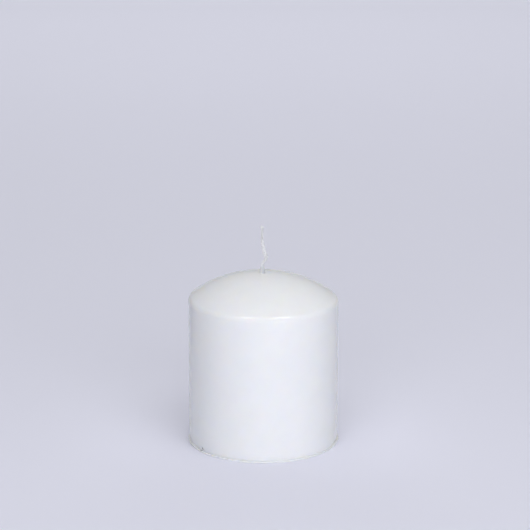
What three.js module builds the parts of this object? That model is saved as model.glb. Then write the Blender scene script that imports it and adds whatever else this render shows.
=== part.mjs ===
// Unity candle: a dome-topped pillar of pressed white wax in a dipped wax skin, with a plaited
// cotton wick that a sheet-steel sustainer holds in the base.
// Millimetres, +Z up, the origin on the candle's axis in the plane that it stands on.
import * as THREE from 'three';

// Candle body
const candleDiameter = 76;
const sideHeight = 73; // from the base to the start of the shoulder
const domeHeight = 14.7; // from the start of the shoulder to the crown
const shoulderRadius = 3.6;

// Dipped skin
const coatThickness = 1.1;
const coatClearance = 0.3; // between the core and the skin
const footHeight = 0.6;
const footProud = 0.35; // how far the foot lip stands out of the side
const footChamfer = 0.15;
const collarWall = 0.4; // wax round the foot of the wick
const collarHeight = 2; // from the crown to the top of that wax
const collarSpread = 1.8; // how far its foot runs out over the dome

// Wick: three strands, plaited flat
const strandDiameter = 0.5;
const strandClearance = 0.2; // between two strands where they cross
const plaitWidth = 2.1;
const plaitPitch = 4.5; // along the wick, from one edge to the other and back
const wickClearance = 0.3; // between the wick and the hole that it stands in
const strandCount = 3;

// Sustainer: a disc with a drawn collar, pressed up into a recess in the base
const sheetThickness = 0.35;
const sustainerDiameter = 22;
const sustainerDepth = 1.2; // from the base of the candle to the underside of the disc
const neckHeight = 6; // from the underside of the disc to the top of its collar
const neckFillet = 0.9;
const rimHeight = 0.6; // turned-up edge of the disc
const recessClearance = 0.35; // between the sustainer and the core
const wickTail = 0.3; // how far the wick's lower end hangs out of the sustainer

// Facets
const roundSegments = 64;
const sustainerSegments = 32;
const shoulderSteps = 3;
const domeSteps = 6;
const collarSteps = 3;
const filletSteps = 3;
const strandSides = 6;
const stepsPerPitch = 9;

const candleRadius = candleDiameter / 2;
const crownHeight = sideHeight + domeHeight;

// In the plait each strand swings from edge to edge, and lifts twice as often. Two strands cross
// the square root of 3 times the lift apart, less what their slope takes from it.
const strandSwing = (plaitWidth - strandDiameter) / 2;
const strandSpacing = strandDiameter + strandClearance;
const strandSlope = 2 * Math.PI * strandSpacing / plaitPitch;
const strandLift = strandSpacing / Math.sqrt(3 - strandSlope ** 2);
const plaitThickness = strandDiameter + 2 * strandLift;
const wickHoleRadius = Math.hypot(plaitWidth, plaitThickness) / 2 + wickClearance;

// The dome is one arc centred on the axis, which runs smoothly into the shoulder's arc.
const shoulderCentreRadius = candleRadius - shoulderRadius;
const domeRadius = (shoulderCentreRadius ** 2 + domeHeight ** 2 - shoulderRadius ** 2)
  / (2 * (domeHeight - shoulderRadius));
const domeCentreHeight = crownHeight - domeRadius;
const domeEndAngle = Math.atan2(shoulderCentreRadius, sideHeight - domeCentreHeight);

// Points on an arc in the half plane of radius and height. Angles run from the axis outwards.
function arcPoints(centreRadius, centreHeight, radius, fromAngle, toAngle, steps) {
  const points = [];
  for (let i = 0; i <= steps; i += 1) {
    const angle = fromAngle + (toAngle - fromAngle) * (i / steps);
    const out = centreRadius + radius * Math.sin(angle);
    const up = centreHeight + radius * Math.cos(angle);
    points.push(new THREE.Vector2(out, up));
  }
  return points;
}

// The wax outline set in by a distance: up the side, round the shoulder and in over the dome, as far
// as the given radius from the axis.
function waxOutline(inset, endRadius) {
  const shoulder = arcPoints(shoulderCentreRadius, sideHeight, shoulderRadius - inset,
    Math.PI / 2, domeEndAngle, shoulderSteps);
  const insetDome = domeRadius - inset;
  const dome = arcPoints(0, domeCentreHeight, insetDome,
    domeEndAngle, Math.asin(endRadius / insetDome), domeSteps);
  return shoulder.concat(dome.slice(1));
}

// A closed body of revolution about Z from a closed outline of radius and height.
function revolve(outline, segments) {
  const closed = outline.concat([outline[0].clone()]);
  const geometry = new THREE.LatheGeometry(closed, segments);
  geometry.rotateX(Math.PI / 2);
  return geometry;
}

function waxCore() {
  const neckHoleRadius = wickHoleRadius + sheetThickness + recessClearance;
  const recessRadius = sustainerDiameter / 2 + recessClearance;
  const recessTop = sustainerDepth + rimHeight + recessClearance;
  const neckHoleTop = sustainerDepth + neckHeight + recessClearance;
  const inset = coatThickness + coatClearance;
  const outline = [
    new THREE.Vector2(neckHoleRadius, neckHoleTop),
    new THREE.Vector2(neckHoleRadius, recessTop),
    new THREE.Vector2(recessRadius, recessTop),
    new THREE.Vector2(recessRadius, 0),
    new THREE.Vector2(candleRadius - inset, 0),
    ...waxOutline(inset, wickHoleRadius),
    new THREE.Vector2(wickHoleRadius, neckHoleTop),
  ];
  return revolve(outline, roundSegments);
}

// Wax creeps up the foot of the wick: from the dome it curves in and up to the collar's top.
function collarOutline(spreadRadius) {
  const topRadius = wickHoleRadius + collarWall;
  const topLevel = crownHeight + collarHeight;
  const spreadLevel = domeCentreHeight + Math.sqrt(domeRadius ** 2 - spreadRadius ** 2);
  const points = [];
  for (let i = 1; i <= collarSteps; i += 1) {
    const angle = i / collarSteps * Math.PI / 2;
    const radius = spreadRadius + (topRadius - spreadRadius) * Math.sin(angle);
    const level = topLevel + (spreadLevel - topLevel) * Math.cos(angle);
    points.push(new THREE.Vector2(radius, level));
  }
  return points;
}

function dipCoat() {
  const spreadRadius = wickHoleRadius + collarWall + collarSpread;
  const footRadius = candleRadius + footProud;
  const inner = waxOutline(coatThickness, wickHoleRadius).reverse();
  const outline = [
    new THREE.Vector2(candleRadius - coatThickness, 0),
    new THREE.Vector2(footRadius - footChamfer, 0),
    new THREE.Vector2(footRadius, footChamfer),
    new THREE.Vector2(footRadius, footHeight - footChamfer),
    new THREE.Vector2(candleRadius, footHeight),
    ...waxOutline(0, spreadRadius),
    ...collarOutline(spreadRadius),
    new THREE.Vector2(wickHoleRadius, crownHeight + collarHeight),
    ...inner,
  ];
  return revolve(outline, roundSegments);
}

function wickSustainer() {
  const rimRadius = sustainerDiameter / 2;
  const neckRadius = wickHoleRadius + sheetThickness;
  const discTop = sustainerDepth + sheetThickness;
  const neckTop = sustainerDepth + neckHeight;
  const outline = [
    new THREE.Vector2(neckRadius, neckTop),
    new THREE.Vector2(wickHoleRadius, neckTop),
    new THREE.Vector2(wickHoleRadius, sustainerDepth),
    new THREE.Vector2(rimRadius, sustainerDepth),
    new THREE.Vector2(rimRadius, sustainerDepth + rimHeight),
    new THREE.Vector2(rimRadius - sheetThickness, sustainerDepth + rimHeight),
    new THREE.Vector2(rimRadius - sheetThickness, discTop),
    ...arcPoints(neckRadius + neckFillet, discTop + neckFillet, neckFillet,
      Math.PI, Math.PI * 1.5, filletSteps),
  ];
  return revolve(outline, sustainerSegments);
}

// The wick's route: straight up the middle of the wax, then the free end with its one kink.
// Each place is out to the side, and up from the crown; turn is how far the flat of the plait has
// turned about the wick there, in degrees, with its broad side facing -Y at 0.
const freeEnd = [
  { side: -0.3, up: 0, turn: 0 },
  { side: -0.4, up: 3.6, turn: 0 },
  { side: -0.1, up: 5.6, turn: 60 },
  { side: 1.0, up: 7.4, turn: 35 },
  { side: 0.8, up: 9.2, turn: 15 },
  { side: 0.6, up: 12, turn: 20 },
  { side: 0.1, up: 15.5, turn: 50 },
  { side: -0.35, up: 18.5, turn: 80 },
  { side: -0.4, up: 24.6, turn: 90 },
];

const straightBelow = 6; // how far under the skin the wick still stands straight
const wickFoot = sustainerDepth - wickTail;
const wickEntry = crownHeight - coatThickness;

function wickRoute() {
  const straight = [
    new THREE.Vector3(0, 0, wickFoot),
    new THREE.Vector3(0, 0, wickEntry / 2),
    new THREE.Vector3(0, 0, wickEntry - straightBelow),
  ];
  const free = freeEnd.map((place) => new THREE.Vector3(place.side, 0, crownHeight + place.up));
  const route = new THREE.CatmullRomCurve3(straight.concat(free), false, 'centripetal');
  route.arcLengthDivisions = 400;
  return route;
}

// How far the flat of the plait has turned at a height, in radians.
function plaitTurn(height) {
  const up = height - crownHeight;
  if (up <= freeEnd[0].up) {
    return THREE.MathUtils.degToRad(freeEnd[0].turn);
  }
  for (let i = 1; i < freeEnd.length; i += 1) {
    const low = freeEnd[i - 1];
    const high = freeEnd[i];
    if (up <= high.up) {
      const along = THREE.MathUtils.smoothstep(up, low.up, high.up);
      return THREE.MathUtils.degToRad(THREE.MathUtils.lerp(low.turn, high.turn, along));
    }
  }
  return THREE.MathUtils.degToRad(freeEnd[freeEnd.length - 1].turn);
}

// One strand's path through the plait: it swings from edge to edge once in a pitch, and passes over
// one neighbour and under the other on each swing.
class StrandPath extends THREE.Curve {
  constructor(route, phase) {
    super();
    this.route = route;
    this.phase = phase;
    this.arcLengthDivisions = Math.ceil(route.getLength() / plaitPitch) * stepsPerPitch * 4;
  }

  getPoint(t) {
    const centre = this.route.getPointAt(t);
    const tangent = this.route.getTangentAt(t);
    const turn = plaitTurn(centre.z);
    const broad = new THREE.Vector3(Math.cos(turn), Math.sin(turn), 0);
    broad.addScaledVector(tangent, -broad.dot(tangent)).normalize();
    const through = new THREE.Vector3().crossVectors(tangent, broad);
    const angle = 2 * Math.PI * t * this.route.getLength() / plaitPitch + this.phase;
    centre.addScaledVector(broad, strandSwing * Math.sin(angle));
    centre.addScaledVector(through, strandLift * Math.sin(2 * angle));
    return centre;
  }
}

function wickStrand(index) {
  const route = wickRoute();
  const path = new StrandPath(route, 2 * Math.PI * index / strandCount);
  const section = new THREE.Shape();
  for (let i = 0; i < strandSides; i += 1) {
    const angle = 2 * Math.PI * i / strandSides;
    const x = strandDiameter / 2 * Math.cos(angle);
    const y = strandDiameter / 2 * Math.sin(angle);
    if (i === 0) {
      section.moveTo(x, y);
    } else {
      section.lineTo(x, y);
    }
  }
  const steps = Math.round(route.getLength() / plaitPitch * stepsPerPitch);
  return new THREE.ExtrudeGeometry(section, { steps, extrudePath: path, bevelEnabled: false });
}

const pressedWax = { color: 0xf4f1e8, roughness: 0.7, metalness: 0 };
const dippedWax = { color: 0xf7f5f0, roughness: 0.28, metalness: 0 };
const waxedCotton = { color: 0xeeeae0, roughness: 0.6, metalness: 0 };
const tinnedSteel = { color: 0xb9bcbe, roughness: 0.35, metalness: 1 };

function part(name, geometry, finish) {
  const mesh = new THREE.Mesh(geometry, new THREE.MeshStandardMaterial(finish));
  mesh.name = name;
  return mesh;
}

const candle = new THREE.Group();
candle.add(part('wax_core', waxCore(), pressedWax));
candle.add(part('dip_coat', dipCoat(), dippedWax));
candle.add(part('wick_sustainer', wickSustainer(), tinnedSteel));
for (let i = 0; i < strandCount; i += 1) {
  candle.add(part(`wick_strand_${i + 1}`, wickStrand(i), waxedCotton));
}

export default candle;
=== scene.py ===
"""A white unity candle: a dome-topped pillar of pressed wax in a dipped wax skin, with a plaited cotton
wick that a tinned sustainer holds in the base. Metres, +Z up, standing at the origin."""
import math

import bmesh
import bpy
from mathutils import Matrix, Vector, noise


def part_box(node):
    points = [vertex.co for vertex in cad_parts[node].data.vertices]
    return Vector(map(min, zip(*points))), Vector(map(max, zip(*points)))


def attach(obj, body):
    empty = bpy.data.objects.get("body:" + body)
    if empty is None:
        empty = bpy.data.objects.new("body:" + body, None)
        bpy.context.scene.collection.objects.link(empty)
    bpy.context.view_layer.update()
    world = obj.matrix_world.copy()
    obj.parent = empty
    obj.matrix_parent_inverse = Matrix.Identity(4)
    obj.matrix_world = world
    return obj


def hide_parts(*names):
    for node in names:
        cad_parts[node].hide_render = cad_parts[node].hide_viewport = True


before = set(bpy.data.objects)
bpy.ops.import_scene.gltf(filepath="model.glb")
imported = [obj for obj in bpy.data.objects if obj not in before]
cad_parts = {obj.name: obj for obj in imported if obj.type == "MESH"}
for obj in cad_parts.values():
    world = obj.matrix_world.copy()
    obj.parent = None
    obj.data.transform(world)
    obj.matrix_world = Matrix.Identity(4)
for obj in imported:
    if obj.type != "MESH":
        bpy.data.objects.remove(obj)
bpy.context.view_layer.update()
MM = 0.001


# ---------------------------------------------------------------- camera
# A long portrait lens on a stand, a little above the candle and looking slightly down on it, so that
# the upright sides stay nearly parallel.
CAMERA_DISTANCE = 1360 * MM
CAMERA_ELEVATION = math.radians(18.1)
CAMERA_PITCH = math.radians(16.05)
CAMERA_ASIDE = 0.8 * MM
AIM_HEIGHT = 41.5 * MM

camera = bpy.data.objects.new("camera", bpy.data.cameras.new("camera"))
bpy.context.collection.objects.link(camera)
camera.location = (
    CAMERA_ASIDE,
    -CAMERA_DISTANCE * math.cos(CAMERA_ELEVATION),
    AIM_HEIGHT + CAMERA_DISTANCE * math.sin(CAMERA_ELEVATION),
)
camera.rotation_euler = (math.pi / 2 - CAMERA_PITCH, 0, 0)
camera.data.lens = 181.2
camera.data.sensor_width = 36
camera.data.clip_end = 50
bpy.context.scene.camera = camera


# ---------------------------------------------------------------- floor and backdrop
# A wide sheet of pale grey-lavender background paper, rolled out on the studio floor. The candle stands
# on it unfixed, and it runs on behind far enough to fill the view.
def linear(hex_colour):
    """A colour's sRGB hex value as linear red, green, blue and alpha."""
    channels = [int(hex_colour[i:i + 2], 16) / 255 for i in (1, 3, 5)]
    return tuple(c / 12.92 if c <= 0.04045 else ((c + 0.055) / 1.055) ** 2.4 for c in channels) + (1.0,)


def node(material, kind, links=(), **settings):
    """Adds a node with its settings; links are (socket, source node, source socket)."""
    made = material.node_tree.nodes.new(kind)
    for name, value in settings.items():
        if name in made.inputs.keys():
            made.inputs[name].default_value = value
        else:
            setattr(made, name, value)
    for socket, source, output in links:
        material.node_tree.links.new(source.outputs[output], made.inputs[socket])
    return made


def new_material(name):
    """An empty node material, its Principled shader, and the piece's own coordinates."""
    material = bpy.data.materials.new(name)
    material.use_nodes = True
    shader = material.node_tree.nodes["Principled BSDF"]
    coordinates = node(material, "ShaderNodeTexCoord")
    return material, shader, coordinates


def piece(name, bm, material, body=True):
    """Makes an object of a bmesh, smooth shaded, and lets it ride on the candle."""
    mesh = bpy.data.meshes.new(name)
    bm.to_mesh(mesh)
    bm.free()
    mesh.shade_smooth()
    made = bpy.data.objects.new(name, mesh)
    bpy.context.collection.objects.link(made)
    made.data.materials.append(material)
    if body:
        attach(made, "root")
    return made


FLOOR_RADIUS = 6.0

# Uncoated background paper: cool in colour and matt, with only a weak sheen at a low angle.
paper, paper_shader, _ = new_material("backdrop paper")
paper_shader.inputs["Base Color"].default_value = linear("#E8E9F6")
paper_shader.inputs["Roughness"].default_value = 0.6
paper_shader.inputs["Specular IOR Level"].default_value = 0.2

bm = bmesh.new()
bmesh.ops.create_circle(bm, cap_ends=True, radius=FLOOR_RADIUS, segments=96)
floor = piece("studio_floor", bm, paper, body=False)


# ---------------------------------------------------------------- studio light
# Two small soft boxes high in front are there only for the two short glints on the shoulder. A wide
# diffuser wall in front lights the side, a second one on the right evens it, a third one high up lights
# the dome, and soft panels light the paper from above, from behind and over the backdrop.
# Azimuth is in degrees to the right of the front, elevation in degrees, and the rest in metres and watts.
ROOM = "#FAFAFC"


def soft_panel(name, azimuth, elevation, distance, width, height, watts, glint=False):
    """A rectangular diffuser that faces the candle, unseen; a glint one shows only in gloss."""
    light = bpy.data.objects.new(name, bpy.data.lights.new(name, "AREA"))
    bpy.context.collection.objects.link(light)
    light.data.shape = "RECTANGLE"
    light.data.size = width
    light.data.size_y = height
    light.data.energy = watts
    light.data.color = linear(ROOM)[:3]
    light.visible_camera = False
    light.visible_glossy = glint
    light.visible_diffuse = not glint
    turn, rise = math.radians(azimuth), math.radians(elevation)
    place = Vector((math.sin(turn) * math.cos(rise), -math.cos(turn) * math.cos(rise), math.sin(rise)))
    light.location = place * distance + Vector((0, 0, AIM_HEIGHT))
    light.rotation_euler = place.to_track_quat("Z", "Y").to_euler()
    return light


soft_panel("soft_box_left", -36, 66, 1.9, 0.42, 0.5, 9, glint=True)
soft_panel("soft_box_right", 57, 66, 1.9, 0.44, 0.5, 9, glint=True)
soft_panel("diffuser_high", 10, 62, 1.9, 2.0, 1.0, 11.5)
soft_panel("diffuser_wall", 5, 12, 1.9, 2.3, 1.8, 31)
soft_panel("diffuser_right", 40, 12, 1.9, 2.0, 1.8, 3)
soft_panel("panel_above", 0, 88, 1.9, 1.6, 1.6, 9)
soft_panel("panel_behind", 180, 45, 1.9, 2.4, 1.2, 5)
panel_backdrop = soft_panel("panel_backdrop", 180, 30, 1.5, 1.6, 0.9, 4)
panel_backdrop.rotation_euler = (0, 0, 0)  # straight down

# The pale room all round, brighter behind the candle.
ROOM_GLOW = 0.06
BACK_GLOW = 0.4
world = bpy.data.worlds.new("studio room")
bpy.context.scene.world = world
world.use_nodes = True
world.node_tree.nodes["Background"].inputs["Color"].default_value = linear(ROOM)
direction = node(world, "ShaderNodeTexCoord")
backward = node(world, "ShaderNodeVectorMath", [(0, direction, "Generated")], operation="DOT_PRODUCT")
backward.inputs[1].default_value = (0, 1, 0)
glow = node(world, "ShaderNodeMapRange", [("Value", backward, "Value")])
glow.inputs["To Min"].default_value = ROOM_GLOW
glow.inputs["To Max"].default_value = BACK_GLOW
world.node_tree.links.new(glow.outputs["Result"], world.node_tree.nodes["Background"].inputs["Strength"])
bpy.context.scene.view_settings.view_transform = "Standard"


# ---------------------------------------------------------------- dipped wax skin
# The skin that the pressed body takes on when it is dipped in hot, hard white wax: about a millimetre
# thick, glossy, faintly wavy where the wax ran, and creeping up the foot of the wick as a thin film.
# Where the warm candle was set down, it keeps a thin uneven bead round its foot.
_, skin_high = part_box("dip_coat")
FOOT_LIP = 0.35 * MM  # how far the foot stands out of the side
COLLAR = 2 * MM  # height of the wax collar round the wick
RADIUS = skin_high.x - FOOT_LIP
CROWN = skin_high.z - COLLAR
SKIN = 1.1 * MM
SHOULDER_RADIUS = 3.6 * MM
DOME_HEIGHT = 14.7 * MM
SIDE_HEIGHT = CROWN - DOME_HEIGHT

shoulder_centre = Vector((RADIUS - SHOULDER_RADIUS, 0, SIDE_HEIGHT))
DOME_RADIUS = (shoulder_centre.x ** 2 + DOME_HEIGHT ** 2 - SHOULDER_RADIUS ** 2) / (
    2 * (DOME_HEIGHT - SHOULDER_RADIUS)
)
dome_centre = Vector((0, 0, CROWN - DOME_RADIUS))
dome_slope = math.atan2(shoulder_centre.x, SIDE_HEIGHT - dome_centre.z)


def start(bm, radius, height):
    """The first point of an outline of radius and height."""
    return bm.verts.new((radius, 0, height))


def line(bm, vert, radius, height, parts=1):
    """Draws a straight stretch of the outline and returns its last point."""
    first, last = vert.co.copy(), Vector((radius, 0, height))
    for i in range(parts):
        vert = bmesh.ops.extrude_vert_indiv(bm, verts=[vert])["verts"][0]
        vert.co = first.lerp(last, (i + 1) / parts)
    return vert


def arc(bm, vert, centre, angle, parts):
    """Swings the outline's last point about a centre, anticlockwise with radius to the right."""
    swung = bmesh.ops.spin(
        bm, geom=[vert], cent=centre, axis=(0, -1, 0), angle=angle, steps=parts, use_duplicate=False
    )
    return [g for g in swung["geom_last"] if isinstance(g, bmesh.types.BMVert)][0]


def revolve(bm, steps):
    """Turns the outline about the candle's axis into a closed body that faces outwards."""
    bmesh.ops.spin(
        bm, geom=bm.verts[:] + bm.edges[:], cent=(0, 0, 0), axis=(0, 0, 1),
        angle=2 * math.pi, steps=steps, use_merge=True,
    )
    bmesh.ops.remove_doubles(bm, verts=bm.verts, dist=0.001 * MM)
    bmesh.ops.recalc_face_normals(bm, faces=bm.faces)


def dome_level(radius, inset=0.0):
    """The height of the dome at a radius from the axis."""
    return dome_centre.z + math.sqrt((DOME_RADIUS - inset) ** 2 - radius ** 2)


BEAD_PROUD = 0.7 * MM
BEAD_HEIGHT = 0.75 * MM
BEAD_EDGE = 0.2 * MM  # radius of its upper rim
UNDERCUT = 0.5 * MM  # how far the side draws in above the bead
DRAW_IN = 5 * MM  # height where it starts to do so
FILM_FOOT = 1.75 * MM  # where the film runs out over the dome
FILM_TOP = 3.7 * MM  # how far it creeps up the wick
FILM_ROUND = 0.65 * MM  # radius of the hollow round its foot
FILM_ASIDE = -0.45 * MM  # how far the wick stands off the axis
FILM_OUT = 1.16 * MM  # half its width at the top, outside and then inside
FILM_IN = 0.8 * MM
DOME_TILT = 0.4 * MM  # how far its edge is out of level

bm = bmesh.new()
v = start(bm, RADIUS - SKIN, 0)
v = line(bm, v, RADIUS + BEAD_PROUD - 0.05 * MM, 0, 4)
v = line(bm, v, RADIUS + BEAD_PROUD, 0.1 * MM)
v = line(bm, v, RADIUS + BEAD_PROUD, BEAD_HEIGHT - BEAD_EDGE)
v = arc(bm, v, (RADIUS + BEAD_PROUD - BEAD_EDGE, 0, BEAD_HEIGHT - BEAD_EDGE), math.pi / 2, 5)
v = line(bm, v, RADIUS - UNDERCUT + 0.06 * MM, BEAD_HEIGHT, 5)
v = line(bm, v, RADIUS - UNDERCUT, BEAD_HEIGHT + 0.06 * MM)
v = line(bm, v, RADIUS - 0.8 * UNDERCUT, BEAD_HEIGHT + 0.4 * MM)
v = line(bm, v, RADIUS - 0.45 * UNDERCUT, 2 * MM, 3)
v = line(bm, v, RADIUS - 0.15 * UNDERCUT, 3.2 * MM, 4)
v = line(bm, v, RADIUS, DRAW_IN, 5)
v = line(bm, v, RADIUS, SIDE_HEIGHT, 44)
v = arc(bm, v, shoulder_centre, math.pi / 2 - dome_slope, 10)
v = arc(bm, v, dome_centre, dome_slope - math.asin(FILM_FOOT / DOME_RADIUS), 26)
film_centre = Vector((FILM_FOOT + 0.05 * MM, 0, v.co.z + FILM_ROUND))
v = arc(bm, v, film_centre, -math.radians(80), 9)
v = line(bm, v, FILM_OUT, CROWN + FILM_TOP, 9)
v = line(bm, v, FILM_IN + 0.15 * MM, CROWN + FILM_TOP + 0.1 * MM)
v = line(bm, v, FILM_IN + 0.05 * MM, CROWN + FILM_TOP - 0.2 * MM)
v = line(bm, v, FILM_IN, CROWN - SKIN)
v = line(bm, v, FILM_FOOT, dome_level(FILM_FOOT, SKIN))
v = arc(bm, v, dome_centre, -(dome_slope - math.asin(FILM_FOOT / (DOME_RADIUS - SKIN))), 8)
v = arc(bm, v, shoulder_centre, -(math.pi / 2 - dome_slope), 4)
line(bm, v, RADIUS - SKIN, 0)
revolve(bm, 384)

# The film hugs the flat wick: it is oval, lumpy, and stops at an uneven edge.
for vert in bm.verts:
    reach = math.hypot(vert.co.x, vert.co.y)
    if reach < FILM_FOOT and vert.co.z > CROWN - SKIN:
        hug = min(1.0, (FILM_FOOT - reach) / (0.6 * MM))
        hug = hug * hug * (3 - 2 * hug)
        climb = max(0.0, (vert.co.z - CROWN) / FILM_TOP)
        bump = noise.noise(vert.co * (1 / (1.1 * MM)))
        edge = noise.noise(Vector((vert.co.x, vert.co.y, 0)) * (1 / (0.5 * MM)))
        vert.co.x *= 1 + 0.06 * bump * hug
        vert.co.y *= (1 - 0.28 * hug) * (1 + 0.08 * bump * hug)
        vert.co.x += hug * FILM_ASIDE
        vert.co.z += hug * edge * 0.9 * MM * climb ** 3

# Set down warm, the bead spreads unevenly; the side keeps the slow waves of the running wax.
for vert in bm.verts:
    reach = math.hypot(vert.co.x, vert.co.y)
    outward = Vector((vert.co.x, vert.co.y, 0)).normalized()
    if vert.co.z < BEAD_HEIGHT + 0.01 * MM and reach > RADIUS + 0.01 * MM:
        spread = 0.75 + 0.35 * noise.noise(outward * 4.3) + 0.25 * noise.noise(outward * 19)
        vert.co += outward * (RADIUS - reach) * (1 - min(1.0, max(0.2, spread)))
    elif reach > RADIUS - 0.4 * MM and vert.co.z > 4 * BEAD_HEIGHT:
        slow = noise.noise(Vector((outward.x * 3, outward.y * 3, vert.co.z / (45 * MM))))
        vert.co += outward * slow * 0.06 * MM

# The dome set a little out of level.
for vert in bm.verts:
    rise = min(1.0, max(0.0, (vert.co.z - SIDE_HEIGHT) / (10 * MM) + 1))
    vert.co.z -= DOME_TILT * rise * rise * (3 - 2 * rise) * vert.co.x / RADIUS

# A chip at the foot, where the skin was knocked.
CHIP_SIZE = 1.5 * MM
CHIP = Vector((-0.826, -0.563, 0)) * RADIUS + Vector((0, 0, 1.4 * MM))
for vert in bm.verts:
    near = (vert.co - CHIP).length / CHIP_SIZE
    if near < 1:
        vert.co -= Vector((CHIP.x, CHIP.y, 0)).normalized() * 0.5 * MM * (1 - near * near)

# Dipped hard paraffin with whitener: close to opaque, a little light goes in and comes out warm, and
# the surface set smooth and glossy with a faint ripple. Round the chip the colour is painted dark grey as
# shade.
wax, wax_shader, wax_place = new_material("dipped hard paraffin")
cloudy = node(wax, "ShaderNodeTexNoise", [("Vector", wax_place, "Object")], Scale=1 / (9 * MM), Detail=3.0)
tint = node(wax, "ShaderNodeMix", [("Factor", cloudy, "Fac")], data_type="RGBA")
tint.inputs[6].default_value = linear("#F5F5F3")
tint.inputs[7].default_value = linear("#F9F9F8")
from_chip = node(wax, "ShaderNodeVectorMath", [(0, wax_place, "Object")], operation="DISTANCE")
from_chip.inputs[1].default_value = CHIP
ragged = node(
    wax, "ShaderNodeTexNoise", [("Vector", wax_place, "Object")], Scale=1 / (0.5 * MM), Detail=3.0
)
chip_edge = node(
    wax, "ShaderNodeMath", [(0, ragged, "Fac"), (2, from_chip, "Value")], operation="MULTIPLY_ADD"
)
chip_edge.inputs[1].default_value = CHIP_SIZE
# Painted shade: round the chip the colour is mixed to dark grey, standing in for the shade inside the chip.
chip_shade = node(wax, "ShaderNodeMapRange", [("Value", chip_edge, "Value")])
chip_shade.inputs["From Min"].default_value = 0.9 * CHIP_SIZE
chip_shade.inputs["From Max"].default_value = 1.15 * CHIP_SIZE
shaded_tint = node(wax, "ShaderNodeMix", [("Factor", chip_shade, "Result"), (7, tint, 2)], data_type="RGBA")
shaded_tint.inputs[6].default_value = linear("#73716D")
wax.node_tree.links.new(shaded_tint.outputs[2], wax_shader.inputs["Base Color"])
wax_shader.inputs["Roughness"].default_value = 0.14
wax_shader.inputs["IOR"].default_value = 1.44
wax_shader.inputs["Subsurface Weight"].default_value = 0.7
wax_shader.inputs["Subsurface Radius"].default_value = (1.0, 0.85, 0.65)
wax_shader.inputs["Subsurface Scale"].default_value = 1.8 * MM
ripple = node(wax, "ShaderNodeTexNoise", [("Vector", wax_place, "Object")], Scale=1 / (4 * MM), Detail=2.0)
relief = node(wax, "ShaderNodeBump", [("Height", ripple, "Fac")], Strength=0.04, Distance=0.4 * MM)
wax.node_tree.links.new(relief.outputs["Normal"], wax_shader.inputs["Normal"])
wax_skin = piece("dipped_skin", bm, wax)
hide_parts("dip_coat")


# ---------------------------------------------------------------- pressed wax body
# Fine beads of paraffin, pressed cold into a solid pillar. Only its base shows, levelled on a hot plate,
# with the shallow recess that the sustainer was pushed up into.
CORE_GAP = 0.05 * MM  # the skin is bonded on, so hardly a line shows between them
RECESS_RADIUS = 11.35 * MM
RECESS_TOP = 2.15 * MM
NECK_HOLE = 2.3 * MM
NECK_TOP = 7.6 * MM
WICK_HOLE = 1.5 * MM
core_inset = SKIN + CORE_GAP

bm = bmesh.new()
v = start(bm, WICK_HOLE, NECK_TOP)
v = line(bm, v, NECK_HOLE, NECK_TOP)
v = line(bm, v, NECK_HOLE, RECESS_TOP, 2)
v = line(bm, v, RECESS_RADIUS - 0.4 * MM, RECESS_TOP, 3)
v = arc(bm, v, (RECESS_RADIUS - 0.4 * MM, 0, RECESS_TOP - 0.4 * MM), -math.pi / 2, 4)
v = line(bm, v, RECESS_RADIUS, 0.5 * MM)
v = arc(bm, v, (RECESS_RADIUS + 0.5 * MM, 0, 0.5 * MM), math.pi / 2, 5)
v = line(bm, v, RADIUS - core_inset - 0.1 * MM, 0, 16)
v = line(bm, v, RADIUS - core_inset, 0.1 * MM)
v = line(bm, v, RADIUS - core_inset, SIDE_HEIGHT, 4)
v = arc(bm, v, shoulder_centre, math.pi / 2 - dome_slope, 4)
v = arc(bm, v, dome_centre, dome_slope - math.asin(WICK_HOLE / (DOME_RADIUS - core_inset)), 10)
line(bm, v, WICK_HOLE, NECK_TOP)
revolve(bm, 192)

# The levelled base is not quite flat, inside its rim.
for vert in bm.verts:
    reach = math.hypot(vert.co.x, vert.co.y)
    if vert.co.z < 0.01 * MM and reach < RADIUS - core_inset - MM:
        vert.co.z += 0.05 * MM * (1 + noise.noise(vert.co * (1 / (7 * MM))))

# Pressed bead paraffin: the beads show as fine cells, each a little whiter or yellower than the next,
# and the pressed surface is matt and softly grained. The beads are about 1.1 mm across.
pressed, pressed_shader, pressed_place = new_material("pressed bead paraffin")
beads = node(pressed, "ShaderNodeTexVoronoi", [("Vector", pressed_place, "Object")], Scale=1 / (1.1 * MM))
shade = node(pressed, "ShaderNodeMix", [("Factor", beads, "Color")], data_type="RGBA")
shade.inputs[6].default_value = linear("#E9E5DA")
shade.inputs[7].default_value = linear("#F6F3EB")
pressed.node_tree.links.new(shade.outputs[2], pressed_shader.inputs["Base Color"])
pressed_shader.inputs["Roughness"].default_value = 0.55
pressed_shader.inputs["IOR"].default_value = 1.44
pressed_shader.inputs["Subsurface Weight"].default_value = 0.5
pressed_shader.inputs["Subsurface Radius"].default_value = (1.0, 0.85, 0.65)
pressed_shader.inputs["Subsurface Scale"].default_value = 3 * MM
grains = node(pressed, "ShaderNodeBump", [("Height", beads, "Distance")], Strength=0.25, Distance=0.1 * MM)
pressed.node_tree.links.new(grains.outputs["Normal"], pressed_shader.inputs["Normal"])
wax_body = piece("pressed_body", bm, pressed)
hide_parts("wax_core")


# ---------------------------------------------------------------- wick sustainer
# A disc stamped and drawn from tinned sheet steel, with a stiffening ring, a turned-up rim and a neck
# that is pinched flat on the wick. It was pushed up into the base while the wax was soft.
tin_low, tin_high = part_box("wick_sustainer")
DISC_LEVEL = tin_low.z
DISC_RADIUS = tin_high.x
NECK_HEIGHT = tin_high.z - tin_low.z
SHEET = 0.35 * MM
NECK_RADIUS = 1.55 * MM
RING_RADIUS = 6.5 * MM
RING = 0.7 * MM

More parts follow.
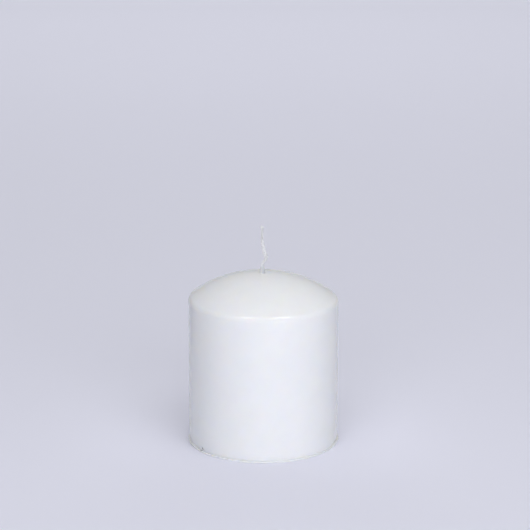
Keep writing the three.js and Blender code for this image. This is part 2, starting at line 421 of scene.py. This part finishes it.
bm = bmesh.new()
v = start(bm, NECK_RADIUS, DISC_LEVEL + NECK_HEIGHT)
v = line(bm, v, NECK_RADIUS, DISC_LEVEL + 1.2 * MM, 6)
v = arc(bm, v, (NECK_RADIUS + 1.2 * MM, 0, DISC_LEVEL + 1.2 * MM), math.pi / 2, 6)
v = line(bm, v, RING_RADIUS - 2 * RING, DISC_LEVEL, 2)
v = arc(bm, v, (RING_RADIUS - 2 * RING, 0, DISC_LEVEL + RING), math.radians(40), 3)
ring_side = v.co.copy()
v = arc(bm, v, (RING_RADIUS, 0, 2 * ring_side.z - DISC_LEVEL - RING), -math.radians(80), 6)
v = arc(bm, v, (RING_RADIUS + 2 * RING, 0, DISC_LEVEL + RING), math.radians(40), 3)
v = line(bm, v, DISC_RADIUS - 0.6 * MM, DISC_LEVEL, 4)
v = arc(bm, v, (DISC_RADIUS - 0.6 * MM, 0, DISC_LEVEL + 0.6 * MM), math.radians(80), 4)
revolve(bm, 96)
bmesh.ops.solidify(bm, geom=bm.faces[:], thickness=SHEET)
bmesh.ops.recalc_face_normals(bm, faces=bm.faces)
for vert in bm.verts:
    pinch = (vert.co.z - DISC_LEVEL - 2 * MM) / (1.5 * MM)
    pinch = min(1.0, max(0.0, pinch))
    if math.hypot(vert.co.x, vert.co.y) < 2 * NECK_RADIUS:
        vert.co.y *= 1 - 0.3 * pinch
        vert.co.x *= 1 + 0.08 * pinch

# Tinned sheet steel: a bright, thin coat of tin over rolled sheet, so the gloss is streaked along the
# rolling direction. The streaks are finer in a real sheet, and drawn 0.12 mm apart here so that they show.
tin, tin_shader, tin_place = new_material("tinned sheet steel")
tin_shader.inputs["Base Color"].default_value = linear("#C6C8CA")
tin_shader.inputs["Metallic"].default_value = 1.0
rolled = node(tin, "ShaderNodeMapping", [("Vector", tin_place, "Object")])
rolled.inputs["Scale"].default_value = (1 / (0.12 * MM), 1 / (6 * MM), 1 / (0.12 * MM))
grain = node(tin, "ShaderNodeTexNoise", [("Vector", rolled, "Vector")], Scale=1.0, Detail=4.0)
dull = node(tin, "ShaderNodeMapRange", [("Value", grain, "Fac")])
dull.inputs["To Min"].default_value = 0.22
dull.inputs["To Max"].default_value = 0.42
tin.node_tree.links.new(dull.outputs["Result"], tin_shader.inputs["Roughness"])
scratch = node(tin, "ShaderNodeBump", [("Height", grain, "Fac")], Strength=0.15, Distance=0.02 * MM)
tin.node_tree.links.new(scratch.outputs["Normal"], tin_shader.inputs["Normal"])
sustainer = piece("sustainer_disc", bm, tin)
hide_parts("wick_sustainer")


# ---------------------------------------------------------------- wick
# Three strands of bleached cotton, each of seven yarns, plaited flat, drawn through hot wax and cut off.
# The free end stands stiff with wax, with one kink, and its yarns open at the cut. The route gives how
# far out to the side and up from the crown it is, in millimetres, and how far the flat has turned.
FREE_END = (
    (-0.45, 0.0, 0), (-0.5, 3.4, 5), (-0.4, 5.2, 65), (0.5, 6.6, 80), (1.4, 7.7, 45), (1.15, 9.2, 10),
    (0.45, 11.5, 15), (-0.05, 14.0, 40), (-0.45, 16.5, 65), (-0.65, 19.5, 85), (-0.65, 24.6, 90),
)
ROUTE = ((0.0, -CROWN / MM, 0), (0.0, -6.0, 0)) + FREE_END
WICK_FOOT = 0.9 * MM
WICK_TOP = CROWN + FREE_END[-1][1] * MM
PLAIT_WIDTH = 2.1 * MM
PITCH = 4.5 * MM  # along the wick, from one edge to the other and back
YARN = 0.2 * MM  # from the middle of one yarn to the next
YARNS_ROUND_ONE = 6
STRANDS = 3
strand_width = 3 * YARN
swing = (PLAIT_WIDTH - strand_width) / 2
wave = 2 * math.pi / PITCH
spacing = 1.03 * strand_width  # so that two strands press together where they cross
lift = spacing / math.sqrt(3 - (wave * spacing) ** 2)


def along_route(height, column):
    """A column of the route at a height, on a smooth curve through its places."""
    up = (height - CROWN) / MM
    last = len(ROUTE) - 2
    i = min(last, max(0, sum(1 for place in ROUTE if place[1] <= up) - 1))
    before, low, high, after = (ROUTE[min(last + 1, max(0, j))] for j in (i - 1, i, i + 1, i + 2))
    span = high[1] - low[1]
    t = (up - low[1]) / span
    leave = (high[column] - before[column]) / (high[1] - before[1]) * span
    arrive = (after[column] - low[column]) / (after[1] - low[1]) * span
    return (
        (2 * t ** 3 - 3 * t ** 2 + 1) * low[column] + (t ** 3 - 2 * t ** 2 + t) * leave
        + (3 * t ** 2 - 2 * t ** 3) * high[column] + (t ** 3 - t ** 2) * arrive
    )


def wick_centre(height):
    """Where the middle of the wick is at a height."""
    return Vector((along_route(height, 0) * MM, 0, height))


def strand_place(height, length, strand):
    """The middle of a strand, with the two directions across it: in the flat, and through it."""
    tangent = (wick_centre(height + 0.05 * MM) - wick_centre(height - 0.05 * MM)).normalized()
    turn = math.radians(along_route(height, 2))
    broad = Vector((math.cos(turn), math.sin(turn), 0))
    broad = (broad - tangent * broad.dot(tangent)).normalized()
    through = tangent.cross(broad)
    angle = wave * length + 2 * math.pi * strand / STRANDS
    middle = wick_centre(height) + broad * swing * math.sin(angle) + through * lift * math.sin(2 * angle)
    run = tangent + broad * swing * wave * math.cos(angle) + through * lift * 2 * wave * math.cos(2 * angle)
    across = run.cross(through).normalized()
    return middle, across, run.cross(across).normalized()


def strand_piece(strand):
    """One strand: a yarn down its middle and six round it, as one mesh of closed round tubes."""
    curve = bpy.data.curves.new(f"strand_{strand + 1}_yarns", "CURVE")
    curve.dimensions = "3D"
    curve.bevel_depth = 0.6 * YARN  # the wax between the yarns makes each a little thicker
    curve.bevel_resolution = 1
    curve.use_fill_caps = True
    for yarn in range(YARNS_ROUND_ONE + 1):
        points = []
        height, length = WICK_FOOT, 0.0
        end = WICK_TOP + 0.25 * MM * noise.noise(Vector((strand * 3.1, yarn * 1.7, 0.5)))
        while height < end:
            middle, across, through = strand_place(height, length, strand)
            round_angle = 2 * math.pi * (yarn / YARNS_ROUND_ONE + length / (14 * MM))
            out = YARN if yarn < YARNS_ROUND_ONE else 0.0
            wander = noise.noise(Vector((strand * 7.3 + yarn * 2.9, height / (1.3 * MM), 4.1)))
            out += 0.02 * MM * wander
            place = middle + (across * math.cos(round_angle) + through * math.sin(round_angle)) * out
            fray = max(0.0, 1 - (end - height) / (1.3 * MM)) ** 2
            centre = wick_centre(height)
            place += (place - centre) * fray * 0.75
            points.append((place, 1 + 0.12 * wander))
            step = PITCH / 18 if height > CROWN else PITCH / 9
            following = wick_centre(height + step)
            length += (following - centre).length
            height += step
        spline = curve.splines.new("POLY")
        spline.points.add(len(points) - 1)
        for point, (place, thick) in zip(spline.points, points):
            point.co = (*place, 1)
            point.radius = thick
    holder = bpy.data.objects.new(curve.name, curve)
    bpy.context.collection.objects.link(holder)
    bpy.context.view_layer.update()
    mesh = bpy.data.meshes.new_from_object(holder.evaluated_get(bpy.context.evaluated_depsgraph_get()))
    bpy.data.objects.remove(holder)
    bm = bmesh.new()
    bm.from_mesh(mesh)
    bpy.data.meshes.remove(mesh)
    bmesh.ops.remove_doubles(bm, verts=bm.verts, dist=0.0001 * MM)
    bmesh.ops.recalc_face_normals(bm, faces=bm.faces)
    return bm


# Bleached cotton primed with wax: white and softly translucent, dull, with a faint pile. Real fibres are
# about 0.02 mm thick, and their pattern is drawn 0.09 mm apart so that it shows.
cotton, cotton_shader, cotton_place = new_material("waxed bleached cotton")
cotton_shader.inputs["Subsurface Weight"].default_value = 0.6
cotton_shader.inputs["Subsurface Radius"].default_value = (1.0, 1.0, 1.0)
cotton_shader.inputs["Subsurface Scale"].default_value = 0.5 * MM
cotton_shader.inputs["Roughness"].default_value = 0.5
cotton_shader.inputs["IOR"].default_value = 1.46
cotton_shader.inputs["Sheen Weight"].default_value = 0.3
fibres = node(
    cotton, "ShaderNodeTexNoise", [("Vector", cotton_place, "Object")], Scale=1 / (0.09 * MM), Detail=3.0
)
fibre_tint = node(cotton, "ShaderNodeMix", [("Factor", fibres, "Fac")], data_type="RGBA")
fibre_tint.inputs[6].default_value = linear("#F6F8FD")
fibre_tint.inputs[7].default_value = linear("#FDFDFF")
cotton.node_tree.links.new(fibre_tint.outputs[2], cotton_shader.inputs["Base Color"])
fuzz = node(cotton, "ShaderNodeBump", [("Height", fibres, "Fac")], Strength=0.4, Distance=0.03 * MM)
cotton.node_tree.links.new(fuzz.outputs["Normal"], cotton_shader.inputs["Normal"])

for strand in range(STRANDS):
    wick_strand = piece(f"cotton_strand_{strand + 1}", strand_piece(strand), cotton)
    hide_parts(f"wick_strand_{strand + 1}")
